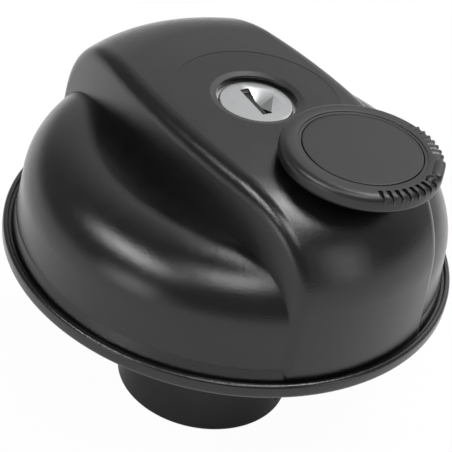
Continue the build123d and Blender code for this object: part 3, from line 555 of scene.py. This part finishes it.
class Blank:
    """One piece on the bench: a primitive that edit-mode operators shape."""

    def __init__(self, name: str) -> None:
        """Take up the primitive that was added last."""
        self.piece = bpy.context.object
        self.piece.name = name
        self.settle()

    @classmethod
    def like(cls, name: str, source: bpy.types.Object, merge: float) -> Blank:
        """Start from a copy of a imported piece, with its points merged.

        Args:
            name: Name of the piece.
            source: Object that is copied.
            merge: Distance below which points become one.

        Returns:
            The new piece.
        """
        clear_bench()
        source.select_set(True)
        bpy.context.view_layer.objects.active = source
        bpy.ops.object.duplicate(linked=False)
        bpy.ops.object.parent_clear(type="CLEAR_KEEP_TRANSFORM")
        copy = cls(name)
        del copy.piece["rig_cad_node"]
        copy._edit("VERT")
        bpy.ops.mesh.select_all(action="SELECT")
        bpy.ops.mesh.remove_doubles(threshold=merge)
        return copy

    @classmethod
    def disc(
        cls,
        name: str,
        radius: float,
        low: float,
        high: float,
        at: Point = (0, 0, 0),
        sides: int = 192,
    ) -> Blank:
        """Start from a cylinder.

        Args:
            name: Name of the piece.
            radius: Radius of the cylinder.
            low: Its lower end.
            high: Its upper end.
            at: Place of its axis.
            sides: Number of its sides.

        Returns:
            The new piece.
        """
        clear_bench()
        middle = (at[0], at[1], (low + high) / 2)
        bpy.ops.mesh.primitive_cylinder_add(vertices=sides, radius=radius, depth=high - low, location=middle)
        return cls(name)

    @classmethod
    def funnel(cls, name: str, at: tuple[float, float], low: float, high: float, slope: float) -> Blank:
        """Start from a cone that stands on its tip.

        Args:
            name: Name of the piece.
            at: Place of its axis.
            low: Level of its tip.
            high: Level of its wide end.
            slope: Rise of its side for each step outward.

        Returns:
            The new piece.
        """
        clear_bench()
        rise = high - low
        bpy.ops.mesh.primitive_cone_add(
            vertices=128,
            radius1=0.0,
            radius2=rise / slope,
            depth=rise,
            location=(*at, low + rise / 2),
        )
        return cls(name)

    @classmethod
    def block(cls, name: str, size: Point, middle: Point) -> Blank:
        """Start from a cuboid of a size about a middle."""
        clear_bench()
        bpy.ops.mesh.primitive_cube_add(size=1.0, location=middle, scale=size)
        return cls(name)

    @classmethod
    def ball(cls, name: str, radius: float, middle: Point) -> Blank:
        """Start from a ball."""
        clear_bench()
        bpy.ops.mesh.primitive_uv_sphere_add(segments=64, ring_count=32, radius=radius, location=middle)
        return cls(name)

    def settle(self) -> None:
        """Move the object's place, turn and scale into its mesh."""
        self.hold()
        bpy.ops.object.transform_apply(location=True, rotation=True, scale=True)

    def hold(self) -> None:
        """Make this the selected and active piece, in object mode."""
        clear_bench()
        self.piece.select_set(True)
        bpy.context.view_layer.objects.active = self.piece

    def faces(self, test: FaceTest) -> None:
        """Select the faces whose middle and normal pass a test."""
        mesh = self._edit("FACE")
        for face in mesh.faces:
            face.select_set(test(face.calc_center_median(), face.normal))
        bmesh.update_edit_mesh(self.piece.data)

    def edges(self, test: EdgeTest) -> None:
        """Select the edges whose two ends pass a test."""
        mesh = self._edit("EDGE")
        for edge in mesh.edges:
            edge.select_set(test(edge.verts[0].co, edge.verts[1].co))
        bmesh.update_edit_mesh(self.piece.data)

    def _edit(self, kind: str) -> bmesh.types.BMesh:
        """Enter edit mode with nothing selected and return the mesh."""
        if bpy.context.mode != "EDIT_MESH":
            self.hold()
            bpy.ops.object.mode_set(mode="EDIT")
        bpy.ops.mesh.select_mode(type=kind)
        bpy.ops.mesh.select_all(action="DESELECT")
        return bmesh.from_edit_mesh(self.piece.data)

    def inset(self, width: float, sink: float = 0.0) -> None:
        """Inset the selected face, then sink what is inside."""
        bpy.ops.mesh.inset(thickness=width, depth=0.0)
        if sink:
            self.extrude((0.0, 0.0, -sink))

    def extrude(self, move: Point) -> None:
        """Extrude the selected faces by a move."""
        bpy.ops.mesh.extrude_region_move(TRANSFORM_OT_translate={"value": move})

    def move(self, by: Point) -> None:
        """Move what is selected."""
        bpy.ops.transform.translate(value=by)

    def slice(self, place: Vector, away: Vector) -> None:
        """Cut off what lies beyond a plane and close the cut."""
        self._edit("FACE")
        bpy.ops.mesh.select_all(action="SELECT")
        bpy.ops.mesh.bisect(plane_co=place, plane_no=away, use_fill=True, clear_outer=True)
        bpy.ops.mesh.select_all(action="SELECT")
        bpy.ops.mesh.normals_make_consistent(inside=False)

    def round(self, width: float, segments: int) -> None:
        """Round the selected edges."""
        bpy.ops.mesh.bevel(offset=width, segments=segments, affect="EDGES", clamp_overlap=True)

    def ring_round(self, radius: float, level: float, width: float, segments: int) -> None:
        """Round the edges of a circle about the Z axis."""

        def on_ring(point: Vector) -> bool:
            """Return whether a point lies on the circle."""
            return abs(point.z - level) < 2 * NEAR and abs(off_axis(point) - radius) < 2 * NEAR

        self.edges(lambda first, last: on_ring(first) and on_ring(last))
        self.round(width, segments)

    def modify(self, kind: str, **settings: object) -> None:
        """Add a modifier and apply it."""
        self.hold()
        modifier = self.piece.modifiers.new(kind.lower(), kind)
        for key, value in settings.items():
            setattr(modifier, key, value)
        bpy.ops.object.modifier_apply(modifier=modifier.name)

    def unite(self, other: Blank, solver: str = "EXACT") -> None:
        """Fuse another piece into this one."""
        self.modify("BOOLEAN", operation="UNION", object=other.piece, solver=solver)
        bpy.data.objects.remove(other.piece)

    def cut(self, other: Blank, solver: str = "EXACT") -> None:
        """Cut another piece out of this one."""
        self.modify("BOOLEAN", operation="DIFFERENCE", object=other.piece, solver=solver)
        bpy.data.objects.remove(other.piece)

    def copy(self, name: str) -> Blank:
        """Return a copy with its own mesh."""
        self.hold()
        bpy.ops.object.duplicate(linked=False)
        return Blank(name)

    def array(self, first: float, count: int, pitch: float) -> list[Blank]:
        """Replace this piece by copies turned about the Z axis, from a first angle on."""
        made = [self.copy(self.piece.name) for _ in range(count)]
        for index, copy in enumerate(made):
            copy.turn(first + index * pitch)
        bpy.data.objects.remove(self.piece)
        return made

    @staticmethod
    def join(pieces: Sequence[Blank]) -> Blank:
        """Return pieces that don't touch as one."""
        pieces[0].hold()
        for piece in pieces:
            piece.piece.select_set(True)
        bpy.ops.object.join()
        return pieces[0]

    def turn(self, degrees: float) -> None:
        """Turn the piece about the Z axis."""
        self.hold()
        self.piece.rotation_euler.z = math.radians(degrees)
        self.settle()

    def carry(self, to: Point) -> None:
        """Move the whole piece."""
        self.hold()
        self.piece.location = to
        self.settle()

    def finish(self, angle: float, material: bpy.types.Material, slot: str, body: str) -> bpy.types.Object:
        """Smooth the piece, dress it and let it ride on a body.

        Args:
            angle: Sharpest angle that is still shaded smooth, in degrees.
            material: Its material.
            slot: Material slot of the record.
            body: Body that carries it.

        Returns:
            The finished object.
        """
        self.hold()
        bpy.ops.object.shade_smooth_by_angle(angle=math.radians(angle))
        self.piece.data.materials.clear()
        self.piece.data.materials.append(material)
        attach(self.piece, body)
        log.info("%s: %d faces, %s, on %s", self.piece.name, len(self.piece.data.polygons), slot, body)
        return self.piece


# ---------------------------------------------------------------------------
# The cap
# ---------------------------------------------------------------------------
@dataclass
class DustCover:
    """Swinging cover: rounded plate with finger ribs, thumb tab and moulded stud."""

    centre: Point = (28.3973 * MM, 3.5018 * MM, 0.0)
    pivot_x: float = 15.05 * MM
    radius: float = 16.2 * MM
    low: float = 75.3 * MM
    top: float = 79.1 * MM
    top_round: float = 1.6 * MM
    low_round: float = 1.1 * MM
    border_radius: float = 12.75 * MM
    border_depth: float = 0.14 * MM
    border_round: float = 0.09 * MM
    pocket_radius: float = 12.1 * MM
    pocket_depth: float = 0.8 * MM
    pocket_round: float = 0.1 * MM
    hollow_radius: float = 11.0 * MM
    hollow_depth: float = 1.2 * MM
    hollow_round: float = 0.15 * MM
    rib_groups: tuple[tuple[float, int, float, int], ...] = ((-23.0, 8, 6.7, -1), (58.6, 7, 6.05, 1))
    rib_size: Point = (2.3 * MM, 0.85 * MM, 1.9 * MM)
    rib_proud: float = 0.14 * MM
    rib_drop: float = 0.03 * MM
    rib_round: float = 0.75 * MM
    rib_slope: float = 0.35 * MM
    rib_edge_round: float = 0.16 * MM
    gap_size: Point = (3.0 * MM, 0.95 * MM, 1.2 * MM)
    gap_start: float = 13.85 * MM
    gap_depth: float = 0.55 * MM
    gap_fade: float = 0.8
    gap_round: float = 0.3 * MM
    tab_angle: float = 40.5
    tab_radius: float = 14.95 * MM
    tab_size: Point = (2.5 * MM, 5.9 * MM, 2.4 * MM)
    tab_rise: float = 0.42 * MM
    tab_round: float = 0.75 * MM
    notch_angle: float = 24.5
    notch_radius: float = 1.1 * MM
    notch_reach: float = 14.6 * MM
    notch_rise: float = 0.35 * MM
    hub_radius: float = 1.9 * MM
    hub_lap: float = 0.6 * MM
    stud_radius: float = 1.6 * MM
    stud_round: float = 0.25 * MM
    seat_level: float = 74.3 * MM
    stud_end: float = 70.65 * MM

    def build(self, materials: dict[str, bpy.types.Material]) -> None:
        """Model the cover and put it on its body."""
        plate = self._plate()
        plate.unite(self._ribs())
        plate.cut(self._gaps())
        notch = Blank.ball("notch", self.notch_radius, (self.notch_reach, 0.0, self.top + self.notch_rise))
        notch.turn(self.notch_angle)
        plate.cut(notch)
        plate.unite(self._tab())
        plate.carry(self.centre)
        plate.unite(self._stud())
        made = plate.finish(32.0, materials["cover_plastic"], "cover_plastic", "cover")
        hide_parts("dust_cover")

    def _plate(self) -> Blank:
        """Return the round plate with its pocket, border and hollow, drawn on the axis."""
        plate = Blank.disc("dust_cover_shell", self.radius, self.low, self.top)
        plate.ring_round(self.radius, self.top, self.top_round, 10)
        plate.ring_round(self.radius, self.low, self.low_round, 8)
        flat = self.radius - self.top_round
        plate.faces(lambda middle, normal: normal.z > FLAT and middle.z > self.top - NEAR)
        plate.inset(flat - self.border_radius, self.border_depth)
        plate.inset(self.border_radius - self.pocket_radius, self.pocket_depth - self.border_depth)
        plate.ring_round(self.border_radius, self.top, self.border_round, 3)
        plate.ring_round(self.pocket_radius, self.top - self.border_depth, self.pocket_round, 3)
        flat = self.radius - self.low_round
        plate.faces(lambda middle, normal: normal.z < -FLAT and middle.z < self.low + NEAR)
        plate.inset(flat - self.hollow_radius, -self.hollow_depth)
        plate.ring_round(self.hollow_radius, self.low, self.hollow_round, 3)
        return plate

    def _ribs(self) -> Blank:
        """Return all the finger ribs in one piece, wedges with their steep sides away from the tab."""
        length, width, height = self.rib_size
        outer = self.radius + self.rib_proud
        high = self.top - self.rib_drop
        ribs: list[Blank] = []
        for first, count, pitch, steep in self.rib_groups:
            rib = Blank.block("rib", self.rib_size, (outer - length / 2, 0.0, high - height / 2))
            rib.edges(
                lambda start, end: min(start.x, end.x) > outer - NEAR
                and min(start.z, end.z) > high - NEAR
            )
            rib.round(self.rib_round, 5)
            rib.faces(lambda middle, normal: normal.y * steep < -0.9)
            rib.move((-self.rib_slope, 0.0, -self.rib_slope))
            rib.edges(lambda start, end: min(start.y * steep, end.y * steep) > width / 2 - NEAR)
            rib.round(self.rib_edge_round, 3)
            ribs += rib.array(first, count, pitch)
        return Blank.join(ribs)

    def _gaps(self) -> Blank:
        """Return the sloping gaps between the ribs in one piece, deepest beside a rib's steep side."""
        length, width, height = self.gap_size
        floor = self.top - self.gap_depth
        gaps: list[Blank] = []
        for first, count, pitch, steep in self.rib_groups:
            middle = (self.gap_start + length / 2, 0.0, floor + height / 2)
            gap = Blank.block("gap", self.gap_size, middle)
            gap.edges(
                lambda start, end: max(start.z, end.z) < floor + NEAR
                and min(start.y * steep, end.y * steep) > 0
            )
            gap.move((0.0, 0.0, self.gap_depth * self.gap_fade))
            gap.edges(
                lambda start, end: max(start.z, end.z) < floor + NEAR
                and max(start.x, end.x) < self.gap_start + NEAR
            )
            gap.round(self.gap_round, 3)
            shift = math.degrees((self.rib_size[1] + width) / 2 / self.radius) * steep
            gaps += gap.array(first + shift, count, pitch)
        return Blank.join(gaps)

    def _tab(self) -> Blank:
        """Return the pebble-like thumb tab."""
        length, width, height = self.tab_size
        middle = (self.tab_radius, 0.0, self.top + self.tab_rise - height / 2)
        tab = Blank.block("tab", self.tab_size, middle)
        tab.edges(lambda start, end: True)
        tab.round(self.tab_round, 2)
        tab.modify("SUBSURF", levels=3, render_levels=3)
        tab.turn(self.tab_angle)
        return tab

    def _stud(self) -> Blank:
        """Return the hub and the stud on the pivot."""
        pivot = (self.pivot_x, 0.0, 0.0)
        hub = Blank.disc("hub", self.hub_radius, self.seat_level, self.low + self.hub_lap, pivot, 64)
        hub.faces(lambda middle, normal: normal.z < -FLAT)
        hub.inset(self.hub_radius - self.stud_radius)
        hub.extrude((0.0, 0.0, self.stud_end - self.seat_level))
        hub.edges(lambda start, end: max(start.z, end.z) < self.stud_end + NEAR)
        hub.round(self.stud_round, 3)
        return hub


@dataclass
class CoverInlay:
    """Plain round plate let into the cover, with a raised rim line."""

    centre: Point = (28.3973 * MM, 3.5018 * MM, 0.0)
    radius: float = 11.93 * MM
    low: float = 78.3 * MM
    top: float = 79.04 * MM
    edge_round: float = 0.16 * MM
    rim_width: float = 0.25 * MM
    rim_height: float = 0.03 * MM

    def build(self, materials: dict[str, bpy.types.Material]) -> None:
        """Model the plate and put it on the cover."""
        plate = Blank.disc("cover_plate", self.radius, self.low, self.top)
        plate.ring_round(self.radius, self.top, self.edge_round, 4)
        plate.faces(lambda middle, normal: normal.z > FLAT)
        plate.inset(self.rim_width, self.rim_height)
        plate.carry(self.centre)
        made = plate.finish(30.0, materials["inlay_plastic"], "inlay_plastic", "cover")
        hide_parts("cover_inlay")


@dataclass
class LockFace:
    """Pressed steel face of the lock: keyway, folded finger scoop and a rolled edge with a skirt."""

    radius: float = 7.65 * MM
    top: float = 73.0 * MM
    underside: float = 72.2 * MM
    skirt_low: float = 70.7 * MM
    skirt_wall: float = 0.35 * MM
    edge_round: float = 0.3 * MM
    ring_width: float = 0.42 * MM
    ring_step: float = 0.07 * MM
    ring_depth: float = 0.03 * MM
    turn: float = -6.0
    solver: str = "MANIFOLD"
    slot_size: Point = (9.4 * MM, 2.25 * MM, 5.0 * MM)
    slot_middle: tuple[float, float] = (-0.3 * MM, 0.12 * MM)
    scoop_middle: tuple[float, float] = (-0.4 * MM, -0.2 * MM)
    scoop_radius: float = 5.1 * MM
    scoop_depth: float = 2.45 * MM
    scoop_wall: float = 0.35 * MM
    scoop_wall_top: float = 72.6 * MM
    scoop_opening: float = 73.2 * MM
    scoop_wall_lap: float = 0.05 * MM
    scoop_opening_lap: float = 0.15 * MM
    fold: tuple[Point, Point, Point] = (
        (-0.77 * MM, 4.6 * MM, 73.0 * MM),
        (3.94 * MM, 1.21 * MM, 73.0 * MM),
        (-0.3 * MM, 1.15 * MM, 71.2 * MM),
    )

    def build(self, materials: dict[str, bpy.types.Material]) -> None:
        """Model the face and put it on the barrel."""
        face = self._cap()
        face.unite(self._scoop(self.scoop_wall, self.scoop_wall_top, self.scoop_wall_lap), self.solver)
        face.cut(self._scoop(0.0, self.scoop_opening, self.scoop_opening_lap), self.solver)
        face.cut(Blank.block("slot", self.slot_size, (*self.slot_middle, self.top)), self.solver)
        face.turn(self.turn)
        made = face.finish(26.0, materials["bright_steel"], "bright_steel", "barrel")
        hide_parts("barrel_face")

    def _cap(self) -> Blank:
        """Return the cap: a disc with a skirt, hollow underneath."""
        cap = Blank.disc("lock_face_plate", self.radius, self.skirt_low, self.top)
        cap.faces(lambda middle, normal: normal.z < -FLAT)
        cap.inset(self.skirt_wall, self.skirt_low - self.underside)
        cap.ring_round(self.radius, self.top, self.edge_round, 5)
        cap.faces(lambda middle, normal: normal.z > FLAT and middle.z > self.top - NEAR)
        cap.inset(self.ring_width)
        cap.inset(self.ring_step, self.ring_depth)
        return cap

    def _scoop(self, growth: float, high: float, lap: float) -> Blank:
        """Return the form of the finger scoop: half a cone beside the keyway, cut off by a flat fold.

        Args:
            growth: Distance that the form stands out from the scoop's surface.
            high: Level of its upper end.
            lap: Distance that it reaches into the keyway.

        Returns:
            The form, drawn with the keyway along X.
        """
        slope = self.scoop_depth / self.scoop_radius
        tip = self.top - self.scoop_depth - growth
        form = Blank.funnel("scoop", self.scoop_middle, tip, high, slope)
        first, second, deep = (Vector(point) for point in self.fold)
        away = (second - first).cross(deep - first).normalized()
        if away.y < 0:
            away.negate()
        form.slice(deep + away * growth, away)
        side = self.slot_middle[1] + self.slot_size[1] / 2 - lap
        form.slice(Vector((0.0, side, 0.0)), Vector((0.0, -1.0, 0.0)))
        return form


@dataclass
class RimBead:
    """Rounded bead moulded round the rim of the grip."""

    radius: float = 48.03 * MM
    low: float = 35.78 * MM
    top: float = 39.13 * MM
    lip: float = 1.2 * MM
    inner: float = 45.95 * MM
    groove: float = 0.62 * MM
    low_round: float = 1.1 * MM
    top_round: float = 0.75 * MM
    lip_round: float = 0.28 * MM

    def build(self, materials: dict[str, bpy.types.Material]) -> None:
        """Model the bead and put it on the grip."""
        bead = Blank.disc("rim_bead", self.radius, self.low, self.top, sides=360)
        bead.faces(lambda middle, normal: normal.z > FLAT)
        bead.inset(self.lip, self.groove)
        bead.inset(self.radius - self.lip - self.inner)
        bpy.ops.mesh.delete(type="FACE")
        bead.faces(lambda middle, normal: normal.z < -FLAT)
        bead.inset(self.radius - self.inner)
        bpy.ops.mesh.delete(type="FACE")
        bead.edges(lambda start, end: max(off_axis(start), off_axis(end)) < self.inner + NEAR)
        bpy.ops.mesh.bridge_edge_loops()
        bead.ring_round(self.radius, self.low, self.low_round, 8)
        bead.ring_round(self.radius, self.top, self.top_round, 8)
        bead.ring_round(self.radius - self.lip, self.top, self.lip_round, 4)
        bead.finish(40.0, materials["grip_plastic"], "grip_plastic", "grip")


@dataclass(frozen=True)
class ValveSpring:
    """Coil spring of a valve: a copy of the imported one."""

    source: bpy.types.Object
    body: str
    joint: str
    fixed_end: float
    free_end: float
    travel: float
    clearance: float = 0.01 * MM
    merge: float = 0.001 * MM

    def build(self, materials: dict[str, bpy.types.Material]) -> None:
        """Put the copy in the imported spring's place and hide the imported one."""
        coil = Blank.like(f"{self.source.name}_coil", self.source, self.merge)
        made = coil.finish(40.0, materials["spring_steel"], "spring_steel", self.body)
        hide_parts(self.source["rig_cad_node"])
        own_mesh(made)


def dress_frame(nodes: dict[str, bpy.types.Object]) -> dict[str, bpy.types.Material]:
    """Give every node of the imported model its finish, which has the name of its slot.

    Args:
        nodes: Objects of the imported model, by name.

    Returns:
        The materials, by slot.
    """
    made = {finish.name: finish.material() for finish in FINISHES}
    for name, node in sorted(nodes.items()):
        for slot in node.material_slots:
            key = slot.material.name.split(".")[0]
            slot.material = made[key]
        log.info("%s wears %s", name, ", ".join(slot.material.name for slot in node.material_slots))
    return made


def main() -> None:
    """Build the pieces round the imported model, light them and aim the camera."""
    logging.basicConfig(level=logging.INFO, format="%(name)s: %(message)s")
    for left in list(bpy.data.objects):
        bpy.data.objects.remove(left)
    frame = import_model()
    nodes = frame["nodes"]
    materials = dress_frame(nodes)
    parts = (
        DustCover(),
        CoverInlay(),
        LockFace(),
        RimBead(),
        ValveSpring(nodes["pressure_spring"], "plug", "pressure_lift", 36.5 * MM, 24.6 * MM, 3.0 * MM),
        ValveSpring(nodes["vacuum_spring"], "pressure_valve", "vacuum_drop", 24.6 * MM, 30.2 * MM, 1.5 * MM),
    )
    for part in parts:
        part.build(materials)

    studio = Studio(
        boxes=[
            SoftBox("left_strip", -101, 43, (30, 11), 10.0),
            SoftBox("left_strip_edge", -96, 42, (46, 19), 1.7, distance=1.7),
            SoftBox("high_strip", -30, 59, (22, 18), 5.6),
            SoftBox("high_strip_edge", -36, 57, (32, 24), 1.4, distance=1.7),
            SoftBox("overhead", 84, 72, (28, 17), 11.0),
            SoftBox("high_back", 128, 54, (14, 14), 2.4),
            SoftBox("low_left", -84, 2, (22, 11), 3.4, distance=0.6),
            SoftBox("low_left_upper", -84, 11, (18, 8), 1.8),
            SoftBox("low_right", 19, 17, (12, 34), 2.5),
            SoftBox("high_right", 30, 66, (22, 12), 5.0),
            SoftBox("back", 108, 36, (34, 30), 0.9, distance=1.8),
        ]
    )
    studio.build()
    bpy.context.scene.view_settings.view_transform = "Standard"


if __name__ == "__main__":
    main()
